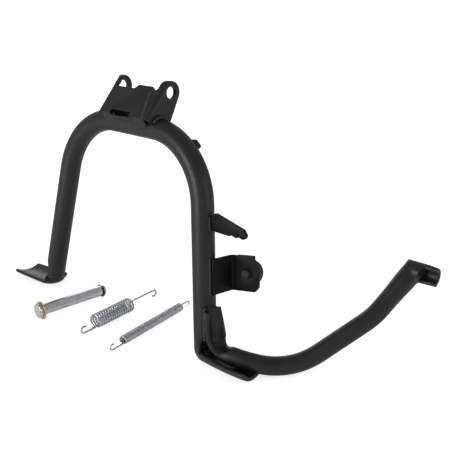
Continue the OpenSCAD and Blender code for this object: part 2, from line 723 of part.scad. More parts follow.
// Hook in the plane of x and z: from a point along x, then round by the given turn
function hook(from, run, r, turn, dir, up, n) = concat(
    [from],
    [for (i = [0 : n])
        let (a = turn * i / n)
            from + [dir * (run + r * sin(a)), 0, up * r * (1 - cos(a))]]);
function spring_path(d, w, turns, gap, seg, near_run, far_run, r) =
    let (rc = (d - w) / 2, pitch = w + gap, long = turns * pitch)
        concat(
            reversed(hook([-1.2 * w, 0, -rc], near_run, r, 225, -1, 1, 9)),
            [for (i = [0 : turns * seg])
                let (a = -90 + i * 360 / seg)
                    [i / seg * pitch, rc * cos(a), rc * sin(a)]],
            hook([long + 1.2 * w, rc * 0.35, 0.1 * rc], far_run, r, 225, 1, -1, 9));

module large_spring() {
    color(bright_zinc)
        translate([-4.8, -82.4, ground_z + large_d / 2]) rotate([0, 0, 92.7])
            wire(spring_path(large_d, large_wire, large_turns, large_gap, 14, 12, 38, 3.6), large_wire, 6);
}

module small_spring() {
    color(bright_zinc)
        translate([43.1, -84.3, ground_z + small_d / 2]) rotate([0, 0, 94.8])
            wire(spring_path(small_d, small_wire, small_turns, small_gap, 10, 12, 12, 3), small_wire, 5);
}

arch_tube();
lever_tube();
pivot_bracket_left();
pivot_bracket_right();
weld_bracket_seam();
weld_bracket_left();
weld_bracket_right();
weld_web_left();
weld_web_right();
spring_lug();
weld_lug_front();
weld_lug_rear();
weld_bumper_bracket();
weld_saddle_front();
weld_saddle_rear();
bumper_bracket();
bumper_rubber();
stop_tab();
weld_stop_tab();
pivot_pin();
pin_washer();
pin_clip();
large_spring();
small_spring();
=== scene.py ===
# Motorcycle centre stand with its loose pin and return springs, dressed for rendering
import math

import bmesh
import bpy
from mathutils import Matrix, Vector


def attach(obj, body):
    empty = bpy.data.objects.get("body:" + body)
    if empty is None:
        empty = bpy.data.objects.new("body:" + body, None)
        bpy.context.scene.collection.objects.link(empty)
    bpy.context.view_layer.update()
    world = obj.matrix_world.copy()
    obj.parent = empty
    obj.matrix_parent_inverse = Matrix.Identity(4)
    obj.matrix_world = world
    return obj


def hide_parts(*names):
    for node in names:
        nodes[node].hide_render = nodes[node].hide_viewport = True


# Camera

cameraSettings = {
    "place": (0.4964, -0.4397, 0.0989),
    "azimuth": 41.4,        # degrees round from the stand's front
    "elevation": 20.65,     # degrees the camera looks down
    "lens": 50.74,
    "sensor": 36.0,
}


def makeCamera(settings):
    data = bpy.data.cameras.new("camera")
    data.lens = settings["lens"]
    data.sensor_width = settings["sensor"]
    camera = bpy.data.objects.new("camera", data)
    camera.location = settings["place"]
    tilt = math.radians(90 - settings["elevation"])
    camera.rotation_euler = (tilt, 0, math.radians(settings["azimuth"]))
    bpy.context.scene.collection.objects.link(camera)
    bpy.context.scene.camera = camera


makeCamera(cameraSettings)
bpy.context.scene.view_settings.view_transform = "Standard"
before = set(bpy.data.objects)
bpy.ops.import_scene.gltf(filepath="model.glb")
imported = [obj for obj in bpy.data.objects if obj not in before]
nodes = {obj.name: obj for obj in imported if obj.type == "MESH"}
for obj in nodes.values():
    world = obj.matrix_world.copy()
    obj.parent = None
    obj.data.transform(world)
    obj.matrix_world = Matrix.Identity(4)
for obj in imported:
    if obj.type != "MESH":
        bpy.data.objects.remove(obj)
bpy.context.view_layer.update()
print("frame loaded:", len(nodes), "nodes")

# Small helpers for node trees, colours and materials


def linearFromHex(text):
    parts = [int(text[i:i + 2], 16) / 255 for i in (1, 3, 5)]
    return [c / 12.92 if c <= 0.04045 else ((c + 0.055) / 1.055) ** 2.4 for c in parts] + [1.0]


def addNode(tree, kind, settings=None, inputs=None):
    node = tree.nodes.new(kind)
    for name, value in (settings or {}).items():
        setattr(node, name, value)
    for name, value in (inputs or {}).items():
        if isinstance(value, bpy.types.NodeSocket):
            tree.links.new(value, node.inputs[name])
        else:
            node.inputs[name].default_value = value
    return node


def newMaterial(name):
    material = bpy.data.materials.new(name)
    material.use_nodes = True
    material.node_tree.nodes.clear()
    return material, material.node_tree


def colourSteps(tree, factor, steps):
    ramp = addNode(tree, "ShaderNodeValToRGB", inputs={"Fac": factor})
    while len(ramp.color_ramp.elements) < len(steps):
        ramp.color_ramp.elements.new(0.5)
    for element, (place, colour) in zip(ramp.color_ramp.elements, steps):
        element.position = place
        element.color = linearFromHex(colour)
    return ramp.outputs["Color"]


# Black stove enamel on pressed steel: satin, with the fine waviness of sprayed paint,
# a little grit under it and a thin film of dust. Scales are 1 / the size in metres.
framePaint = {
    "name": "satinBlackEnamel",
    "colour": "#131312",
    "dusty": "#191817",
    "roughness": (0.38, 0.5),
    "shine": 0.5,
    "cloudSize": 0.018,     # the film of dust
    "waviness": 0.0022,
    "waveDepth": 0.00012,
    "grit": 0.00045,
    "gritDepth": 0.00004,
}
# The folded bumper plate, with the spring lug and the stop tab, gets a greener, darker copy of the
# enamel with less shine
platePaint = dict(framePaint, name="darkerGreenishEnamel", colour="#030605", dusty="#060a08", shine=0.2)
# Paint over a weld keeps the weld's spatter and scale in its bumps; its colours, lighter than the
# frame's, are a painted highlight for the light the seam's ripples catch
weldPaintWithHighlight = dict(framePaint, name="enamelOverWeldPaintedHighlight", colour="#201f1d", dusty="#34312d",
                 roughness=(0.26, 0.5), waviness=0.0012, gritDepth=0.00012)


def makeEnamel(settings):
    material, tree = newMaterial(settings["name"])
    coord = addNode(tree, "ShaderNodeTexCoord").outputs["Object"]
    cloud = addNode(tree, "ShaderNodeTexNoise", inputs={
        "Vector": coord, "Scale": 1 / settings["cloudSize"], "Detail": 4.0})
    # the cloud mixes towards the second, lighter colour: a film of dust on the frame and plates, a
    # painted highlight in blotches on the welds
    colour = colourSteps(tree, cloud.outputs["Fac"], [
        (0.35, settings["colour"]), (0.75, settings["dusty"])])
    low, high = settings["roughness"]
    rough = addNode(tree, "ShaderNodeMapRange", inputs={
        "Value": cloud.outputs["Fac"], "From Min": 0.3, "From Max": 0.7,
        "To Min": low, "To Max": high})
    wave = addNode(tree, "ShaderNodeTexNoise", inputs={
        "Vector": coord, "Scale": 1 / settings["waviness"], "Detail": 1.0})
    grit = addNode(tree, "ShaderNodeTexNoise", inputs={
        "Vector": coord, "Scale": 1 / settings["grit"], "Detail": 2.0})
    soft = addNode(tree, "ShaderNodeBump", inputs={
        "Height": wave.outputs["Fac"], "Strength": 0.35, "Distance": settings["waveDepth"]})
    fine = addNode(tree, "ShaderNodeBump", inputs={
        "Height": grit.outputs["Fac"], "Strength": 0.4, "Distance": settings["gritDepth"],
        "Normal": soft.outputs["Normal"]})
    shader = addNode(tree, "ShaderNodeBsdfPrincipled", inputs={
        "Base Color": colour, "Roughness": rough.outputs["Result"],
        "Normal": fine.outputs["Normal"], "IOR": 1.5, "Specular IOR Level": settings["shine"]})
    addNode(tree, "ShaderNodeOutputMaterial", inputs={"Surface": shader.outputs["BSDF"]})
    return material


# Plated and oxidised steel: bright metal whose plating varies slowly in tint and polish,
# with the marks of turning or drawing across it
zincPlate = {
    "name": "brightZincPlate",
    "steps": [(0.3, "#c4c6ca"), (0.7, "#dcdde0")],
    "roughness": (0.2, 0.36),
    "cloudSize": 0.006,
    "marks": 0.0006,        # the real marks are about 0.1 mm apart, too fine to show
    "markDepth": 0.00001,
    "metallic": 1.0,
}
wirePlate = dict(zincPlate, name="zincSpringWire", roughness=(0.16, 0.3), cloudSize=0.003,
                 marks=0.0009, steps=[(0.3, "#b4b7bd"), (0.7, "#d6d8dc")])
yellowPlate = dict(zincPlate, name="yellowChromatePlate", roughness=(0.25, 0.4), cloudSize=0.004,
                   steps=[(0.25, "#c9a77c"), (0.5, "#d2c08e"), (0.75, "#b9b99a")])
blackOxide = dict(zincPlate, name="blackOxideSpringSteel", roughness=(0.3, 0.45), metallic=0.8,
                  steps=[(0.3, "#232327"), (0.7, "#3a3a3f")])


def makePlatedSteel(settings):
    material, tree = newMaterial(settings["name"])
    coord = addNode(tree, "ShaderNodeTexCoord").outputs["Object"]
    cloud = addNode(tree, "ShaderNodeTexNoise", inputs={
        "Vector": coord, "Scale": 1 / settings["cloudSize"], "Detail": 3.0})
    colour = colourSteps(tree, cloud.outputs["Fac"], settings["steps"])
    low, high = settings["roughness"]
    rough = addNode(tree, "ShaderNodeMapRange", inputs={
        "Value": cloud.outputs["Fac"], "From Min": 0.3, "From Max": 0.7,
        "To Min": low, "To Max": high})
    stretch = addNode(tree, "ShaderNodeMapping", inputs={
        "Vector": coord, "Scale": (0.12, 1.0, 0.12)})
    marks = addNode(tree, "ShaderNodeTexNoise", inputs={
        "Vector": stretch.outputs["Vector"], "Scale": 1 / settings["marks"], "Detail": 2.0})
    bump = addNode(tree, "ShaderNodeBump", inputs={
        "Height": marks.outputs["Fac"], "Strength": 0.5, "Distance": settings["markDepth"]})
    shader = addNode(tree, "ShaderNodeBsdfPrincipled", inputs={
        "Base Color": colour, "Roughness": rough.outputs["Result"],
        "Normal": bump.outputs["Normal"], "Metallic": settings["metallic"]})
    addNode(tree, "ShaderNodeOutputMaterial", inputs={"Surface": shader.outputs["BSDF"]})
    return material


# Moulded natural rubber: matt, faintly bloomed grey, with the grain of its mould
rubberFinish = {
    "name": "mouldedBlackRubber",
    "colour": "#161615",
    "bloom": "#24231f",
    "roughness": 0.62,
    "cloudSize": 0.007,
    "grain": 0.0005,
    "grainDepth": 0.00006,
}


def makeRubber(settings):
    material, tree = newMaterial(settings["name"])
    coord = addNode(tree, "ShaderNodeTexCoord").outputs["Object"]
    cloud = addNode(tree, "ShaderNodeTexNoise", inputs={
        "Vector": coord, "Scale": 1 / settings["cloudSize"], "Detail": 5.0})
    colour = colourSteps(tree, cloud.outputs["Fac"], [
        (0.35, settings["colour"]), (0.8, settings["bloom"])])
    grain = addNode(tree, "ShaderNodeTexNoise", inputs={
        "Vector": coord, "Scale": 1 / settings["grain"]})
    bump = addNode(tree, "ShaderNodeBump", inputs={
        "Height": grain.outputs["Fac"], "Strength": 0.3, "Distance": settings["grainDepth"]})
    shader = addNode(tree, "ShaderNodeBsdfPrincipled", inputs={
        "Base Color": colour, "Roughness": settings["roughness"],
        "Normal": bump.outputs["Normal"]})
    addNode(tree, "ShaderNodeOutputMaterial", inputs={"Surface": shader.outputs["BSDF"]})
    return material


enamel = makeEnamel(framePaint)
plateEnamel = makeEnamel(platePaint)
# the weld enamel is lighter than the frame's: a painted highlight on the seams
weldEnamelWithHighlight = makeEnamel(weldPaintWithHighlight)
zinc = makePlatedSteel(zincPlate)
wireZinc = makePlatedSteel(wirePlate)
yellowZinc = makePlatedSteel(yellowPlate)
oxide = makePlatedSteel(blackOxide)
rubber = makeRubber(rubberFinish)
print("materials made")

# Shape helpers. Shapes are worked out in millimetres and written to meshes in metres.


def turned(x, y, z):
    return (Matrix.Rotation(math.radians(z), 4, "Z") @ Matrix.Rotation(math.radians(y), 4, "Y")
            @ Matrix.Rotation(math.radians(x), 4, "X"))


def moved(x, y, z):
    return Matrix.Translation((x, y, z))


def ease(k):
    k = max(0.0, min(1.0, k))
    return k * k * (3 - 2 * k)


def mix(a, b, k):
    return a * (1 - k) + b * k


def squareTo(v, t):
    return (v - t * v.dot(t)).normalized()


def addPiece(name, points, faces, material, sharpAngle=40):
    mesh = bpy.data.meshes.new(name)
    mesh.from_pydata([Vector(p) * 0.001 for p in points], [], faces)
    work = bmesh.new()
    work.from_mesh(mesh)
    bmesh.ops.remove_doubles(work, verts=work.verts, dist=1e-6)
    bmesh.ops.recalc_face_normals(work, faces=work.faces)
    work.to_mesh(mesh)
    work.free()
    mesh.shade_smooth()
    mesh.set_sharp_from_angle(angle=math.radians(sharpAngle))
    mesh.materials.append(material)
    piece = bpy.data.objects.new(name, mesh)
    bpy.context.scene.collection.objects.link(piece)
    return piece


def handIn(piece, nodeName):
    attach(piece, "root")
    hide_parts(nodeName)


def camelName(nodeName):
    first, *rest = nodeName.split("_")
    return first + "".join(word.capitalize() for word in rest)


def lofted(rings):
    count = len(rings[0])
    points = [p for ring in rings for p in ring]
    faces = []
    for i in range(len(rings) - 1):
        for j in range(count):
            k = (j + 1) % count
            here, there = i * count, (i + 1) * count
            faces.append((here + j, there + j, there + k, here + k))
    return points, faces


def stripCap(count, first):
    # closes a pressed end from rim to rim
    faces = []
    for i in range(count // 2):
        a, b = count // 4 + i, count // 4 - i
        quad = [first + n % count for n in (a, a + 1, b - 1, b)]
        faces.append(tuple(dict.fromkeys(quad)))
    return faces


# A ring of a tube whose wall is pressed over into a trough. Point 0 is the middle of the
# open side, half way round is the convex back. The first number runs across, the second
# runs from the back towards the open side.
rimTurn = 75    # degrees of the ring that lie on the open side, to each side of its middle
rimBulge = 0.85     # how round the rim is


def tubeRing(press, endRadius, tubeRadius, thick, count):
    half = math.radians(min(90, 90 * tubeRadius / endRadius))
    ring = []
    for j in range(count):
        a = j * 360 / count - 180
        side = -1 if a < 0 else 1
        if abs(a) <= rimTurn:
            s, r = a / rimTurn * half, endRadius
            x, y = r * math.sin(s), -r * math.cos(s)
        elif abs(a) < 180 - rimTurn:
            turn = math.radians((abs(a) - rimTurn) / (180 - 2 * rimTurn) * 180)
            r = endRadius - thick / 2 + thick / 2 * math.cos(turn)
            out = thick / 2 * math.sin(turn) * rimBulge
            x = side * (r * math.sin(half) + out * math.cos(half))
            y = -r * math.cos(half) + out * math.sin(half)
        else:
            s, r = side * (180 - abs(a)) / rimTurn * half, endRadius - thick
            x, y = r * math.sin(s), -r * math.cos(s)
        roundX = tubeRadius * math.sin(math.radians(a))
        roundY = tubeRadius - tubeRadius * math.cos(math.radians(a))
        ring.append((mix(roundX, x, press), mix(roundY, y + endRadius, press)))
    return ring


def placedRing(station, tubeRadius, thick, count, coat=0.0):
    back, along, out, press, endRadius = station
    across = out.cross(along)
    return [back + across * x + out * (y - coat)
            for x, y in tubeRing(press, endRadius + coat, tubeRadius + coat, thick, count)]


def endRings(station, tubeRadius, thick, count, way):
    # the pressed end: a softened edge, its flat face and the slit between the two walls
    back, along, out, press, endRadius = station
    across = out.cross(along)
    half = math.radians(min(90, 90 * tubeRadius / endRadius))
    rings = []
    # how far each ring lies past the end, how much smaller it is and how thick its wall
    for reach, shrink, wall in ((0, 0, thick), (0.35, 0.12, thick - 0.24), (0.5, 0.5, thick - 1.0),
                                (0.5, thick / 2 - 0.12, 0.24), (-2.5, thick / 2 - 0.1, 0.2)):
        radius = endRadius - shrink
        ring = tubeRing(press, radius, radius * math.degrees(half) / 90, wall, count)
        if shrink == 0:
            ring = tubeRing(press, endRadius, tubeRadius, thick, count)
        place = back + along * way * reach
        rings.append([place + across * x + out * (y + shrink) for x, y in ring])
    return rings


# Bent route: straights joined by arcs of the given radii


def bendOf(p, q, r, radius):
    toP, toR = (p - q).normalized(), (r - q).normalized()
    half = math.acos(max(-1, min(1, toP.dot(toR)))) / 2
    start, end = q + toP * radius / math.tan(half), q + toR * radius / math.tan(half)
    centre = q + (toP + toR).normalized() * radius / math.sin(half)
    return start, end, centre, math.pi - 2 * half


def onArc(centre, start, end, span, k):
    a, b = start - centre, end - centre
    return centre + (a * math.sin(span * (1 - k)) + b * math.sin(span * k)) / math.sin(span)


def arcWay(centre, start, end, span, k):
    a, b = start - centre, end - centre
    return (b * math.cos(span * k) - a * math.cos(span * (1 - k))).normalized()


# Arch tube with its two pressed feet

archTube = {
    "diameter": 22.0,
    "coat": 0.3,            # paint and the tube's own play in size, all round
    "pivotRise": 36.1,
    "pivotBack": 11.7,
    "height": 213.9,
    "legHalf": 127.6,
    "splay": 8.85,
    "shoulderRadius": 74.6,
    "lean": 8.85,
    "footReach": 57.4,
    "footThickness": 4.0,
    "footRadius": 34.0,     # of the outer sole, which the ground touches
    "pressRun": 20.0,
    "ringPoints": 72,
}
# How each foot's trough opens: the press and the opening at the ankle's start and end
rightFoot = {
    "pressAtAnkle": 0.5,
    "pressTurn": 0.7,
    "openAtAnkle": 0.0,
    "openAtHeel": 0.35,
    "radius": 19.0,
    "rise": 2.5,            # of the tip
    "ankle": 15.0,
    "lift": 0.0,            # of the heel
    "level": 0.0,           # degrees the sole is rolled round its own length
}
leftFoot = dict(rightFoot, pressTurn=0.9, openAtHeel=0.8, radius=34.0, rise=0.0, ankle=10.0,
                lift=4.0, level=7.0)

tubeRadius = archTube["diameter"] / 2
splay = math.radians(archTube["splay"])
archY = -archTube["pivotBack"]
barZ = -archTube["pivotRise"]
soleZ = barZ - archTube["height"]
legDown = Vector((math.sin(splay), 0, -math.cos(splay)))
legOut = Vector((math.cos(splay), 0, math.sin(splay)))
inStand = turned(-archTube["lean"], 0, 0)


def leant(p):
    return inStand @ Vector(p)


def legX(z):
    return archTube["legHalf"] - math.tan(splay) * (z - soleZ)


def onLeg(z):
    return inStand @ moved(legX(z), archY, z) @ turned(0, -archTube["splay"], 0)


groundZ = leant((0, archY, soleZ + archTube["footRadius"])).z - archTube["footRadius"]


def footStations(settings, foot):
    radius, turn = foot["ankle"], math.pi / 2 - splay
    reach = radius * math.tan(turn / 2)
    heelX = settings["legHalf"] - tubeRadius / math.cos(splay)
    ankle = Vector((heelX, archY, soleZ + foot["lift"]))
    start = ankle - legDown * reach
    middle = start + legOut * radius
    end = ankle + Vector((reach, 0, 0))
    tip = settings["legHalf"] + settings["footReach"]

    def opened(k):
        return mix(tubeRadius, foot["radius"], ease(k))

    stations = []
    for k in [i / 12 for i in range(12)]:     # down the leg
        stations.append((start - legDown * settings["pressRun"] * (1 - k), legDown, legOut,
                         foot["pressAtAnkle"] * ease(k), opened(foot["openAtAnkle"] * k)))
    for k in [i / 14 for i in range(15)]:     # round the ankle
        a = -turn * (1 - k)
        normal = Vector((-math.sin(a), 0, math.cos(a)))
        way = Vector((math.cos(a), 0, math.sin(a)))
        level = Matrix.Rotation(math.radians(foot["level"] * k), 3, way)
        stations.append((middle - normal * radius, way, level @ normal,
                         min(1, foot["pressAtAnkle"] + foot["pressTurn"] * k),
                         opened(mix(foot["openAtAnkle"], foot["openAtHeel"], k))))
    for k in [i / 12 for i in range(1, 13)]:  # along the sole
        z = soleZ + foot["rise"] * k * k + foot["lift"] * (1 - k)
        level = Matrix.Rotation(math.radians(foot["level"] * (1 - 0.5 * k)), 3, "X")
        stations.append((Vector((mix(end.x, tip, k), archY, z)), Vector((1, 0, 0)),
                         level @ Vector((0, 0, 1)), 1, opened(foot["openAtHeel"] + 0.75 * k)))
    return stations


def halfArch(settings, foot):
    # rings from the middle of the top bar to one foot's tip
    thick, count = settings["footThickness"], settings["ringPoints"]
    shoulder = settings["shoulderRadius"]
    bend = math.pi / 2 - splay
    flatEnd = legX(barZ) - shoulder * math.tan(bend / 2)
    right, up = Vector((1, 0, 0)), Vector((0, 0, 1))
    stations = [(Vector((x, archY, barZ - tubeRadius)), right, up, 0, tubeRadius)
                for x in (0, flatEnd * 0.5)]
    for i in range(31):
        a = bend * i / 30
        normal = Vector((math.sin(a), 0, math.cos(a)))
        way = Vector((math.cos(a), 0, -math.sin(a)))
        centre = Vector((flatEnd, archY, barZ - shoulder)) + normal * shoulder
        stations.append((centre - normal * tubeRadius, way, normal, 0, tubeRadius))
    pressed = footStations(settings, foot)
    last, first = stations[-1], pressed[0]
    for k in (0.33, 0.67):
        stations.append((mix(last[0], first[0], k), legDown, legOut, 0, tubeRadius))
    stations += pressed
    rings = [placedRing(s, tubeRadius, thick, count, settings["coat"]) for s in stations[:-1]]
    return rings + endRings(stations[-1], tubeRadius, thick, count, 1)


def makeArchTube(settings):
    right = halfArch(settings, rightFoot)
    left = [[Vector((-p.x, p.y, p.z)) for p in ring] for ring in halfArch(settings, leftFoot)]
    rings = list(reversed(left[1:])) + right
    count = settings["ringPoints"]
    points, faces = lofted(rings)
    faces += stripCap(count, 0) + stripCap(count, len(points) - count)
    return addPiece("archTube", [leant(p) for p in points], faces, enamel, 50)


handIn(makeArchTube(archTube), "arch_tube")
print("arch tube made")

# Foot lever: a saddle on the right leg, a bent tube and a foot pad

leverTube = {
    "diameter": 18.0,
    "saddleHeight": 54.5,
    "saddleHeel": 14.1,
    "saddleTurn": 20.0,     # how far round to the front the saddle sits on the leg
    "radii": (18.0, 40.0, 70.0, 80.0),
    "corners": ((44.9, 9.0, 4.9), (76.8, 36.2, -5.7), (126.2, 95.6, 46.4), (143.7, 130.9, 86.1)),
    "padLength": 23.0,
    "padFace": (0.0, -1.0, -0.12),  # which way the pad's hollow opens
    "saddleRadius": 13.0,
    "saddleFace": (-6.0, 16.0),    # which way the saddle opens, at its top and at its heel
    "padRadius": 9.5,
    "swell": 1.0,           # how much fuller the tube grows towards the fold
    "swellRun": 34.0,
    "thickness": 4.0,
    "ringPoints": 64,
}
leverRadius = leverTube["diameter"] / 2


def besideLeg(z, turn):
    side = legOut * math.cos(turn) - Vector((0, math.sin(turn), 0))
    return leant(Vector((legX(z), archY, z)) + side * (tubeRadius + leverRadius))


def leverRoute(settings):
    foot = leant((archTube["legHalf"], archY, soleZ))
    low = groundZ + leverRadius
    turn = math.radians(settings["saddleTurn"])
    corners = [(foot.x + x, foot.y + y, low + z) for x, y, z in settings["corners"]]
    x, y, z = corners[-1]
    corners.append((x + settings["padLength"], y, z))
    return [besideLeg(soleZ + settings["saddleHeight"], turn),
            besideLeg(soleZ + settings["saddleHeel"], turn / 2)] + [Vector(p) for p in corners]


# Rings over the pad's fold: how far the wall is pressed in, the reach past the fold, how far
# the ring leans with the mitre's plane, and its share of the swell
foldRings = (
    (0, 0, 1, 1),
    (0, 2.5, 0.62, 1),
    (0, 5, 0.24, 1),
    (0, 7.5, -0.15, 1),
    (0, 10, -0.54, 0.9),
    (1, 10.5, -0.54, 0.8),
    (1, 13, -0.4, 0.6),
    (1, 18, -0.15, 0.3),
)


def makeLeverTube(settings):
    route, radii = leverRoute(settings), settings["radii"]
    count, thick = settings["ringPoints"], settings["thickness"]

    def saddleOut(k):
        turn = math.radians(mix(*settings["saddleFace"], k))
        return leant(legOut * math.cos(turn) - Vector((0, math.sin(turn), 0)))

    def station(centre, along, out, press, radius):
        normal = squareTo(out, along)
        return (centre - normal * leverRadius, along, normal, press, radius)

    def saddleOpen(k):
        return mix(settings["saddleRadius"], leverRadius, ease(k))

    start, end, centre, span = bendOf(route[0], route[1], route[2], radii[0])
    down = (route[1] - route[0]).normalized()
    stations = []
    for k in [i / 10 for i in range(11)]:
        middle = mix(route[0], start, k)
        stations.append(station(middle, down, saddleOut(k), 1, saddleOpen(0.4 * k)))
    for k in [i / 16 for i in range(1, 17)]:
        p = onArc(centre, start, end, span, k)
        way = arcWay(centre, start, end, span, k)
        facing = mix(saddleOut(1), (centre - p).normalized(), k)
        stations.append(station(p, way, facing, 1 - ease(k), saddleOpen(0.4 + 0.6 * k)))
    # The rings turn evenly over the bends, so that the tube reaches the fold facing the right way
    rise, side = (route[5] - route[4]).normalized(), Vector((1, 0, 0))
    padFace = Vector(settings["padFace"]).normalized()
    mitre = (rise + side).normalized()
    foldOut = squareTo(padFace - mitre * 2 * padFace.dot(mitre), rise)
    bends = []
    for i in (2, 3, 4):
        a, b, c, s = bendOf(route[i - 1], route[i], route[i + 1], radii[i - 1])
        bends += [(onArc(c, a, b, s, j / 16), arcWay(c, a, b, s, j / 16)) for j in range(17)]
    carried = stations[-1][2]
    for p, way in bends:
        carried = squareTo(carried, way)
    twist = math.atan2(carried.cross(foldOut).dot(rise), carried.dot(foldOut))
    out = stations[-1][2]
    for i, (p, way) in enumerate(bends):
        out = squareTo(out, way)
        turnedOut = Matrix.Rotation(twist * i / (len(bends) - 1), 3, way) @ out
        stations.append(station(p, way, turnedOut, 0, leverRadius))
    fold = route[5]
    rings = [placedRing(s, leverRadius, thick, count) for s in stations]
    fullAt = 0.75   # where the swell ends, as a share of its run
    for k in (0, 0.2, 0.4, 0.6, fullAt):
        middle = fold - rise * settings["swellRun"] * (1 - k)
        near = station(middle, rise, foldOut, 0, leverRadius)
        swell = settings["swell"] * ease(k / fullAt)
        rings.append(placedRing(near, leverRadius, thick, count, swell))
    for press, reach, slant, full in foldRings:
        c = fold + side * reach
        over = station(c, side, padFace, press, settings["padRadius"] if press else leverRadius)
        flat = placedRing(over, leverRadius, thick, count, settings["swell"] * full)
        rings.append([p - side * ((p - c).dot(mitre) / side.dot(mitre)) * slant for p in flat])
    last = station(route[6], side, padFace, 1, settings["padRadius"])
    rings += endRings(last, leverRadius, thick, count, 1)
    rings = list(reversed(endRings(stations[0], leverRadius, thick, count, -1))) + rings[1:]
    points, faces = lofted(rings)
    faces += stripCap(count, 0) + stripCap(count, len(points) - count)
    return addPiece("footLever", points, faces, enamel, 50)


handIn(makeLeverTube(leverTube), "lever_tube")
print("foot lever made")

# Plates: the solids with the soft edges that shearing and painting leave, widths in mm

plateEdges = {
    "pivot_bracket_left": 0.7,
    "pivot_bracket_right": 0.7,
    "spring_lug": 0.6,
    "bumper_bracket": 0.5,
    "stop_tab": 0.6,
    "weld_stop_tab": 0.3,
}
plateFinishes = {
    "bumper_bracket": plateEnamel,
    "spring_lug": plateEnamel,
    "stop_tab": plateEnamel,
    "weld_stop_tab": weldEnamelWithHighlight,
}


def softened(nodeName, name, width, material, segments=3):
    mesh = nodes[nodeName].data.copy()
    work = bmesh.new()
    work.from_mesh(mesh)
    bmesh.ops.remove_doubles(work, verts=work.verts, dist=2e-6)
    flat = math.radians(1.5)
    bmesh.ops.dissolve_limit(work, angle_limit=flat, verts=work.verts, edges=work.edges)
    work.to_mesh(mesh)
    work.free()
    draft = bpy.data.objects.new(name + "Draft", mesh)
    bpy.context.scene.collection.objects.link(draft)
    bevel = draft.modifiers.new("edges", "BEVEL")
    bevel.width = width * 0.001
    bevel.segments = segments
    bevel.limit_method = "ANGLE"
    bevel.angle_limit = math.radians(32)
    bevel.harden_normals = False
    bevel.use_clamp_overlap = True
    graph = bpy.context.evaluated_depsgraph_get()
    finished = bpy.data.meshes.new_from_object(draft.evaluated_get(graph))
    bpy.data.objects.remove(draft)
    finished.shade_smooth()
    finished.set_sharp_from_angle(angle=math.radians(34))
    finished.materials.clear()
    finished.materials.append(material)
    piece = bpy.data.objects.new(name, finished)
    bpy.context.scene.collection.objects.link(piece)
    return piece


for nodeName, width in plateEdges.items():
    finish = plateFinishes.get(nodeName, enamel)
    handIn(softened(nodeName, camelName(nodeName), width, finish), nodeName)
print("plates softened")

# Weld beads: overlapping scales set along each joint

weldBeads = {
    "pitch": 1.7,
    "seed": 4,
    "smallest": 0.72,       # shares of the bead's radius, drawn at random between the two
    "largest": 1.1,
    "length": 1.05,         # of a scale along the joint, in pitches
}


def weldTree(settings):
    tree = bpy.data.node_groups.new("weldBead", "GeometryNodeTree")
    face = tree.interface
    face.new_socket("Geometry", in_out="INPUT", socket_type="NodeSocketGeometry")
    for name, value in (("Pitch", 0.0011), ("Bead Radius", 0.003), ("Seed", 4), ("Paint", None)):
        kind = {"Seed": "NodeSocketInt", "Paint": "NodeSocketMaterial"}.get(name, "NodeSocketFloat")
        socket = face.new_socket(name, in_out="INPUT", socket_type=kind)
        if value is not None:
            socket.default_value = value
    face.new_socket("Geometry", in_out="OUTPUT", socket_type="NodeSocketGeometry")
    given = addNode(tree, "NodeGroupInput").outputs
    line = addNode(tree, "GeometryNodeMeshToCurve", inputs={"Mesh": given["Geometry"]})
    spread = addNode(tree, "GeometryNodeResampleCurve", {"mode": "LENGTH"}, {
        "Curve": line.outputs["Curve"], "Length": given["Pitch"]})
    tangent = addNode(tree, "GeometryNodeInputTangent")
    turn = addNode(tree, "FunctionNodeAlignRotationToVector", {"axis": "Z"}, {
        "Vector": tangent.outputs["Tangent"]})
    scale = addNode(tree, "GeometryNodeMeshIcoSphere", inputs={"Radius": 1.0, "Subdivisions": 3})
    vary = addNode(tree, "FunctionNodeRandomValue", {"data_type": "FLOAT"}, {
        "Min": settings["smallest"], "Max": settings["largest"], "Seed": given["Seed"]})
    size = addNode(tree, "ShaderNodeMath", {"operation": "MULTIPLY"}, {
        0: given["Bead Radius"], 1: vary.outputs[1]})
    thin = addNode(tree, "ShaderNodeMath", {"operation": "MULTIPLY"}, {
        0: given["Pitch"], 1: settings["length"]})
    joined = addNode(tree, "ShaderNodeCombineXYZ", inputs={
        "X": size.outputs[0], "Y": size.outputs[0], "Z": thin.outputs[0]})
    placed = addNode(tree, "GeometryNodeInstanceOnPoints", inputs={
        "Points": spread.outputs["Curve"], "Instance": scale.outputs["Mesh"],
        "Rotation": turn.outputs["Rotation"], "Scale": joined.outputs["Vector"]})
    real = addNode(tree, "GeometryNodeRealizeInstances", inputs={
        "Geometry": placed.outputs["Instances"]})
    smooth = addNode(tree, "GeometryNodeSetShadeSmooth", inputs={
        "Geometry": real.outputs["Geometry"]})
    painted = addNode(tree, "GeometryNodeSetMaterial", inputs={
        "Geometry": smooth.outputs["Geometry"], "Material": given["Paint"]})
    addNode(tree, "NodeGroupOutput", inputs={"Geometry": painted.outputs["Geometry"]})
    return tree


def grown(name, tree, points, values, fullness=None):
    # runs a node tree on a line through the points and keeps the result as a plain mesh
    mesh = bpy.data.meshes.new(name + "Line")
    edges = [(i, i + 1) for i in range(len(points) - 1)]
    mesh.from_pydata([Vector(p) * 0.001 for p in points], edges, [])
    if fullness:
        share = mesh.attributes.new("fullness", "FLOAT", "POINT").data
        share.foreach_set("value", fullness)
    draft = bpy.data.objects.new(name + "Draft", mesh)
    bpy.context.scene.collection.objects.link(draft)
    modifier = draft.modifiers.new("grow", "NODES")
    modifier.node_group = tree
    for item in tree.interface.items_tree:
        if item.in_out == "INPUT" and item.name in values:
            modifier[item.identifier] = values[item.name]
    graph = bpy.context.evaluated_depsgraph_get()
    finished = bpy.data.meshes.new_from_object(draft.evaluated_get(graph))
    bpy.data.objects.remove(draft)
    piece = bpy.data.objects.new(name, finished)
    bpy.context.scene.collection.objects.link(piece)
    return piece


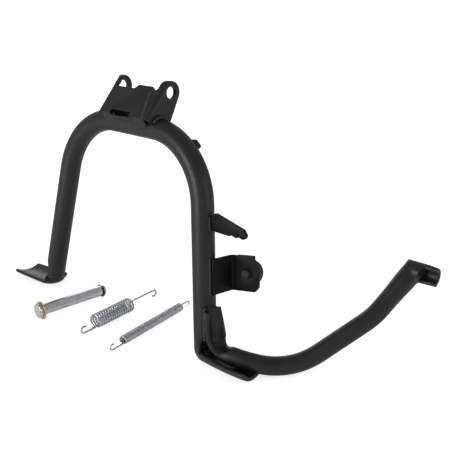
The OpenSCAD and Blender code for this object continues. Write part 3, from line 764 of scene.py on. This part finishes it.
# Where the beads lie. The seam is on the web's face, the others on the leg and the top bar.
webLean = 33.0
onFace = inStand @ moved(0, -30.6, -26.0) @ turned(-webLean, 0, 0)
bumperZ = soleZ + 84.4
lugZ = soleZ + 130.4
seam = [(31, 0.6, 2), (29.4, 0.6, 9), (26.6, 0.6, 20), (24.7, 0.6, 28.4)]
earBead = {"side": 39.2, "out": 12.0, "from": 125, "span": 105}    # round the top bar, in degrees
saddleBead = {"out": 10.6, "side": 6.4, "topOut": 12.4, "topZ": 30.6}


def through(matrix, points):
    return [matrix @ Vector(p) for p in points]


def overBar(side):
    arc = []
    for i in range(15):
        a = math.radians(earBead["from"] + earBead["span"] * i / 14)
        arc.append((side * earBead["side"], archY + earBead["out"] * math.sin(a),
                    barZ - earBead["out"] * math.cos(a)))
    return through(inStand, arc)


def upLeg(z, out, side, low, high):
    return through(onLeg(z), [(tubeRadius + out, side, low), (tubeRadius + out, side, high)])


def overSaddle(side):
    # up the corner between the saddle and the leg, then over the saddle's top
    onSide = onLeg(soleZ + 24) @ turned(0, 0, -17)
    line = [(saddleBead["out"], side * saddleBead["side"], z) for z in (1, 8, 15, 22, 29)]
    for i in range(7):
        a, out = math.radians(side * (31 - 5 * i)), saddleBead["topOut"]
        line.append((out * math.cos(a), out * math.sin(a), saddleBead["topZ"]))
    return through(onSide, line)


weldLines = {       # each bead's radius and its line
    "weld_bracket_seam": (2.3, through(onFace, seam)),
    "weld_bracket_left": (2.2, overBar(-1)),
    "weld_bracket_right": (2.2, overBar(1)),
    "weld_lug_front": (1.3, upLeg(lugZ, 0.1, -2.7, -1, 10)),
    "weld_lug_rear": (1.3, upLeg(lugZ, 0.1, 2.7, -1, 10)),
    "weld_bumper_bracket": (1.5, upLeg(bumperZ, -0.2, -3.3, -17, 17)),
    "weld_saddle_front": (2.0, overSaddle(-1)),
    "weld_saddle_rear": (2.0, overSaddle(1)),
}

# The two welds under the web run into a hollow fillet between its lower edge and the tube,
# and meet below the slot, where the fillet's upper edge drops to leave it open
webFillet = {
    "front": [(-30.5, -25.3), (-28.0, -28.6), (-25.7, -32.2), (-24.0, -35.2), (-23.1, -38.5)],
    "back": [(-20.5, -35.0), (-22.0, -30.0), (-26.5, -25.0)],
    "core": (-22.5, -33.5),         # what the ends shrink towards
    "slotDrop": 3.4,
    "dropWay": (0.0, -0.545, -0.839),
}


def makeFillet(name, stations, settings):
    rings = []
    for x, low, full in stations:
        drop = Vector(settings["dropWay"]) * settings["slotDrop"] * low
        ring = [Vector((x, y, z)) for y, z in settings["front"] + settings["back"]]
        ring[0] += drop
        ring[1] += drop * 0.5
        ring[-1] += drop
        core = Vector((x, *settings["core"]))
        ripple = Vector((0, 0.12 * math.sin(x * 1.9), 0.1 * math.cos(x * 2.3)))
        rings.append([core.lerp(p + ripple, full) for p in ring])
    points, faces = lofted(rings)
    count = len(rings[0])
    faces += [tuple(range(count)), tuple(range(len(points) - count, len(points)))]
    return addPiece(name, [inStand @ p for p in points], faces, enamel, 60)


def evenRun(start, end, low, count):
    return [(mix(start, end, i / count), low, 1.0) for i in range(count + 1)]


# each ring's place across, whether it lies below the slot, and its size
leftRun = [(-33.5, 0, 0.4), (-33.0, 0, 0.9)]
leftRun += evenRun(-32.0, -17.0, 0, 14) + evenRun(-15.6, -2.0, 1, 12)
rightRun = evenRun(-2.0, 10.4, 1, 12) + evenRun(12.0, 30.0, 0, 16)
rightRun += [(30.8, 0, 0.9), (31.2, 0, 0.4)]
handIn(makeFillet("weldWebLeft", leftRun, webFillet), "weld_web_left")
handIn(makeFillet("weldWebRight", rightRun, webFillet), "weld_web_right")
beadTree = weldTree(weldBeads)
for nodeName, (radius, line) in weldLines.items():
    bead = grown(camelName(nodeName), beadTree, line, {
        "Pitch": weldBeads["pitch"] * 0.001, "Bead Radius": radius * 0.001,
        "Seed": weldBeads["seed"], "Paint": weldEnamelWithHighlight})
    handIn(bead, nodeName)
print("welds laid")

# Return springs: one wire drawn along hook, coil and hook

largeSpring = {
    "diameter": 16.0,
    "wire": 2.2,
    "turns": 16,
    "gap": 1.0,
    "nearRun": 12,
    "farRun": 38,
    "hook": 3.6,
    "fullness": 1.3,        # of the wire in the coil, whose turns then nearly touch
    "place": (-4.8, -82.4),
    "turn": 92.7,
    "steps": 36,            # to a turn of the coil
}
smallSpring = dict(largeSpring, diameter=9.5, wire=1.7, turns=50, gap=0.12, farRun=12, hook=3.0,
                   fullness=1.0, place=(43.1, -84.3), turn=94.8, steps=24)
hookTurn = 225
hookSteps = 20


def wireTree():
    tree = bpy.data.node_groups.new("springWire", "GeometryNodeTree")
    face = tree.interface
    for name, kind, value in (("Geometry", "NodeSocketGeometry", None),
                              ("Wire Radius", "NodeSocketFloat", 0.001),
                              ("Sides", "NodeSocketInt", 12),
                              ("Plating", "NodeSocketMaterial", None)):
        socket = face.new_socket(name, in_out="INPUT", socket_type=kind)
        if value is not None:
            socket.default_value = value
    face.new_socket("Geometry", in_out="OUTPUT", socket_type="NodeSocketGeometry")
    given = addNode(tree, "NodeGroupInput").outputs
    line = addNode(tree, "GeometryNodeMeshToCurve", inputs={"Mesh": given["Geometry"]})
    full = addNode(tree, "GeometryNodeInputNamedAttribute", {"data_type": "FLOAT"}, {
        "Name": "fullness"})
    line = addNode(tree, "GeometryNodeSetCurveRadius", inputs={
        "Curve": line.outputs["Curve"], "Radius": full.outputs["Attribute"]})
    section = addNode(tree, "GeometryNodeCurvePrimitiveCircle", inputs={
        "Resolution": given["Sides"], "Radius": given["Wire Radius"]})
    drawn = addNode(tree, "GeometryNodeCurveToMesh", inputs={
        "Curve": line.outputs["Curve"], "Profile Curve": section.outputs["Curve"],
        "Fill Caps": True})
    smooth = addNode(tree, "GeometryNodeSetShadeSmooth", inputs={
        "Geometry": drawn.outputs["Mesh"]})
    real = addNode(tree, "GeometryNodeRealizeInstances", inputs={
        "Geometry": smooth.outputs["Geometry"]})
    plated = addNode(tree, "GeometryNodeSetMaterial", inputs={
        "Geometry": real.outputs["Geometry"], "Material": given["Plating"]})
    addNode(tree, "NodeGroupOutput", inputs={"Geometry": plated.outputs["Geometry"]})
    return tree


def hookLine(start, run, radius, way, up):
    points = [Vector(start)]
    for i in range(hookSteps + 1):
        a = math.radians(hookTurn * i / hookSteps)
        bend = Vector((way * (run + radius * math.sin(a)), 0, up * radius * (1 - math.cos(a))))
        points.append(Vector(start) + bend)
    return points


def springLine(settings):
    steps = settings["steps"]
    wire, coil = settings["wire"], (settings["diameter"] - settings["wire"]) / 2
    pitch = wire + settings["gap"]
    long = settings["turns"] * pitch
    near = hookLine((-1.2 * wire, 0, -coil), settings["nearRun"], settings["hook"], -1, 1)
    farStart = (long + 1.2 * wire, coil * 0.35, 0.1 * coil)
    far = hookLine(farStart, settings["farRun"], settings["hook"], 1, -1)
    middle = []
    for i in range(settings["turns"] * steps + 1):
        a = math.radians(-90 + i * 360 / steps)
        middle.append(Vector((i / steps * pitch, coil * math.cos(a), coil * math.sin(a))))
    centreZ = groundZ + settings["diameter"] / 2
    place = moved(*settings["place"], centreZ) @ turned(0, 0, settings["turn"])
    fullness = [1.0] * len(near) + [settings["fullness"]] * len(middle) + [1.0] * len(far)
    return through(place, list(reversed(near)) + middle + far), fullness


drawnWire = wireTree()
for nodeName, springSize in (("large_spring", largeSpring), ("small_spring", smallSpring)):
    line, fullness = springLine(springSize)
    spring = grown(camelName(nodeName), drawnWire, line, {
        "Wire Radius": springSize["wire"] * 0.0005, "Sides": 12, "Plating": wireZinc}, fullness)
    handIn(spring, nodeName)
print("springs wound")

# Turned parts: a profile spun round an axis


def spun(name, profile, matrix, material):
    steps = 72
    points, faces = [], []
    rows = []
    for r, z in profile:
        if r == 0:
            rows.append([len(points)] * steps)
            points.append(matrix @ Vector((0, 0, z)))
        else:
            rows.append(list(range(len(points), len(points) + steps)))
            for i in range(steps):
                a = 2 * math.pi * i / steps
                points.append(matrix @ Vector((r * math.cos(a), r * math.sin(a), z)))
    closed = profile[0][0] != 0
    pairs = list(zip(rows, rows[1:])) + ([(rows[-1], rows[0])] if closed else [])
    for low, high in pairs:
        for i in range(steps):
            k = (i + 1) % steps
            face = tuple(dict.fromkeys((low[i], low[k], high[k], high[i])))
            if len(face) > 2:
                faces.append(face)
    return addPiece(name, points, faces, material, 35)


def rounded(corners, radii):
    # profile with each corner rounded by its radius
    out = []
    for i, (corner, radius) in enumerate(zip(corners, radii)):
        q = Vector((corner[0], corner[1], 0))
        if radius == 0:
            out.append((q.x, q.y))
            continue
        p = Vector((*corners[(i - 1) % len(corners)], 0))
        r = Vector((*corners[(i + 1) % len(corners)], 0))
        a, b, c, s = bendOf(p, q, r, radius)
        for k in range(5):
            v = onArc(c, a, b, s, k / 4)
            out.append((v.x, v.y))
    return out


pivotPin = {
    "diameter": 12.0,
    "head": (16.4, 3.5),
    "grooveAt": 81.5,
    "groove": (9.6, 1.3),
    "tail": 3.0,
}
washer = {"diameter": 20.8, "bore": 12.5, "thickness": 1.6}
play = (washer["bore"] - pivotPin["diameter"]) / 2
axisHeight = washer["diameter"] / 2 - play
clipRadius = 7.5
pinRun = pivotPin["grooveAt"] - pivotPin["head"][1] - 0.1     # from washer to clip
pinTilt = math.degrees(math.atan((axisHeight - clipRadius) / pinRun))
onPin = moved(-67, -112, groundZ + axisHeight) @ turned(0, 0, -4.9) @ turned(-90 - pinTilt, 0, 0)


def makePin(settings):
    r, (headD, headT) = settings["diameter"] / 2, settings["head"]
    at, (grooveD, grooveW) = settings["grooveAt"], settings["groove"]
    end = at + grooveW + settings["tail"]
    corners = [(0, 0), (headD / 2, 0), (headD / 2, headT), (r, headT), (r, at), (grooveD / 2, at),
               (grooveD / 2, at + grooveW), (r, at + grooveW), (r, end), (0, end)]
    profile = rounded(corners, [0, 0.8, 0.35, 0.3, 0.12, 0.1, 0.1, 0.12, 0.9, 0])
    return spun("pivotPin", profile, onPin, zinc)


def makeWasher(settings):
    outer, inner, t = settings["diameter"] / 2, settings["bore"] / 2, settings["thickness"]
    place = onPin @ moved(0, play - 0.01, pivotPin["head"][1] + 0.1)
    profile = rounded([(inner, 0), (outer, 0), (outer, t), (inner, t)], [0.15, 0.35, 0.5, 0.25])
    return spun("pinWasher", profile, place, yellowZinc)


handIn(makePin(pivotPin), "pivot_pin")
handIn(makeWasher(washer), "pin_washer")
handIn(softened("pin_clip", "pinClip", 0.18, oxide, 2), "pin_clip")
print("pin, washer and clip made")

# Rubber bumper: a dome, its neck through the plate and its nub

bumperRubber = {
    "dome": (26.0, 16.0),
    "neck": 8.0,
    "nub": (10.5, 4.0),
    "sheet": 3.0,
    "plateWidth": 27.0,
    "plateBack": 29.0,
    "foldOutside": 5.0,
    "openAngle": 12.0,
}


def makeBumper(settings):
    (domeD, domeH), neck, (nubD, nubH) = settings["dome"], settings["neck"], settings["nub"]
    fold, sheet = settings["foldOutside"], settings["sheet"]
    place = (onLeg(bumperZ) @ moved(tubeRadius + fold, settings["plateBack"] - fold, 0)
             @ turned(0, 0, settings["openAngle"])
             @ moved(settings["plateWidth"] / 2 + 0.5, fold, 0) @ turned(-90, 0, 0))
    r = domeD / 2
    corners = [(0, -sheet - nubH), (neck / 2, -sheet - nubH), (nubD / 2, -sheet - 0.2),
               (neck / 2, -sheet), (neck / 2, 0), (r - 0.6, 0), (r, 1.4), (r, 7), (r - 1.2, 10.6),
               (r - 4.2, 14.0), (r - 8, domeH - 0.3), (0, domeH)]
    profile = rounded(corners, [0, 0.8, 0.5, 0.1, 0.1, 0.4, 0.6, 2.5, 4, 4, 4, 0])
    return spun("bumperRubber", profile, place, rubber)


handIn(makeBumper(bumperRubber), "bumper_rubber")
print("bumper made")

# The solids keep the frame's enamel where no piece stands in for them
for node in nodes.values():
    node.data.materials.clear()
    node.data.materials.append(enamel)

# Floor, background and lamps

studio = {
    "floorColour": "#f4f4f4",
    "floorSize": 8.0,
    "floorLift": 0.7,
    "mirroredLift": 0.25,   # how much of the lift shows in reflections
    "keyPower": 9.3,
    "sidePower": 0.5,
    "rightPower": 2.4,
    "backPower": 3.6,
    "skyStrength": 0.39,
}


def makeFloor(settings):
    half = settings["floorSize"]
    mesh = bpy.data.meshes.new("floor")
    z = groundZ * 0.001
    corners = [(-half, -half, z), (half, -half, z), (half, half, z), (-half, half, z)]
    mesh.from_pydata(corners, [], [(0, 1, 2, 3)])
    floor = bpy.data.objects.new("floor", mesh)
    bpy.context.scene.collection.objects.link(floor)
    material, tree = newMaterial("paleFloor")
    path = addNode(tree, "ShaderNodeLightPath")
    mirrored = addNode(tree, "ShaderNodeMath", {"operation": "MULTIPLY"}, {
        0: path.outputs["Is Glossy Ray"], 1: settings["mirroredLift"]})
    seen = addNode(tree, "ShaderNodeMath", {"operation": "MAXIMUM"}, {
        0: path.outputs["Is Camera Ray"], 1: mirrored.outputs[0]})
    lift = addNode(tree, "ShaderNodeMath", {"operation": "MULTIPLY"}, {
        0: seen.outputs[0], 1: settings["floorLift"]})
    glow = addNode(tree, "ShaderNodeEmission", inputs={
        "Color": (1, 1, 1, 1), "Strength": lift.outputs[0]})
    matt = addNode(tree, "ShaderNodeBsdfDiffuse", inputs={
        "Color": linearFromHex(settings["floorColour"])})
    both = addNode(tree, "ShaderNodeAddShader", inputs={0: glow.outputs[0], 1: matt.outputs[0]})
    addNode(tree, "ShaderNodeOutputMaterial", inputs={"Surface": both.outputs[0]})
    mesh.materials.append(material)


def makeSky(settings):
    world = bpy.data.worlds.new("studioSky")
    world.use_nodes = True
    bpy.context.scene.world = world
    tree = world.node_tree
    tree.nodes.clear()
    path = addNode(tree, "ShaderNodeLightPath")
    dim = addNode(tree, "ShaderNodeBackground", inputs={
        "Color": (1, 1, 1, 1), "Strength": settings["skyStrength"]})
    white = addNode(tree, "ShaderNodeBackground", inputs={
        "Color": (1, 1, 1, 1), "Strength": 1.0})
    pick = addNode(tree, "ShaderNodeMixShader", inputs={
        0: path.outputs["Is Camera Ray"], 1: dim.outputs[0], 2: white.outputs[0]})
    addNode(tree, "ShaderNodeOutputWorld", inputs={"Surface": pick.outputs[0]})


def makeLamp(name, place, target, size, power):
    # a square lamp of the given width, in metres, facing the target
    data = bpy.data.lights.new(name, "AREA")
    data.shape = "SQUARE"
    data.size = size
    data.energy = power
    lamp = bpy.data.objects.new(name, data)
    lamp.location = place
    facing = Vector(target) - Vector(place)
    lamp.rotation_euler = facing.to_track_quat("-Z", "Y").to_euler()
    bpy.context.scene.collection.objects.link(lamp)


makeFloor(studio)
makeSky(studio)
middle = (0.05, 0.0, -0.12)
makeLamp("keyLamp", (-0.35, -1.5, 0.25), middle, 0.5, studio["keyPower"])
makeLamp("sideLamp", (1.3, -1.3, 0.1), middle, 0.5, studio["sidePower"])
makeLamp("rightLamp", (1.6, 0.3, 0.4), middle, 0.6, studio["rightPower"])
makeLamp("backLamp", (-1.5, 1.1, 0.35), (-0.15, 0.0, -0.25), 0.9, studio["backPower"])
print("floor and lamps made")
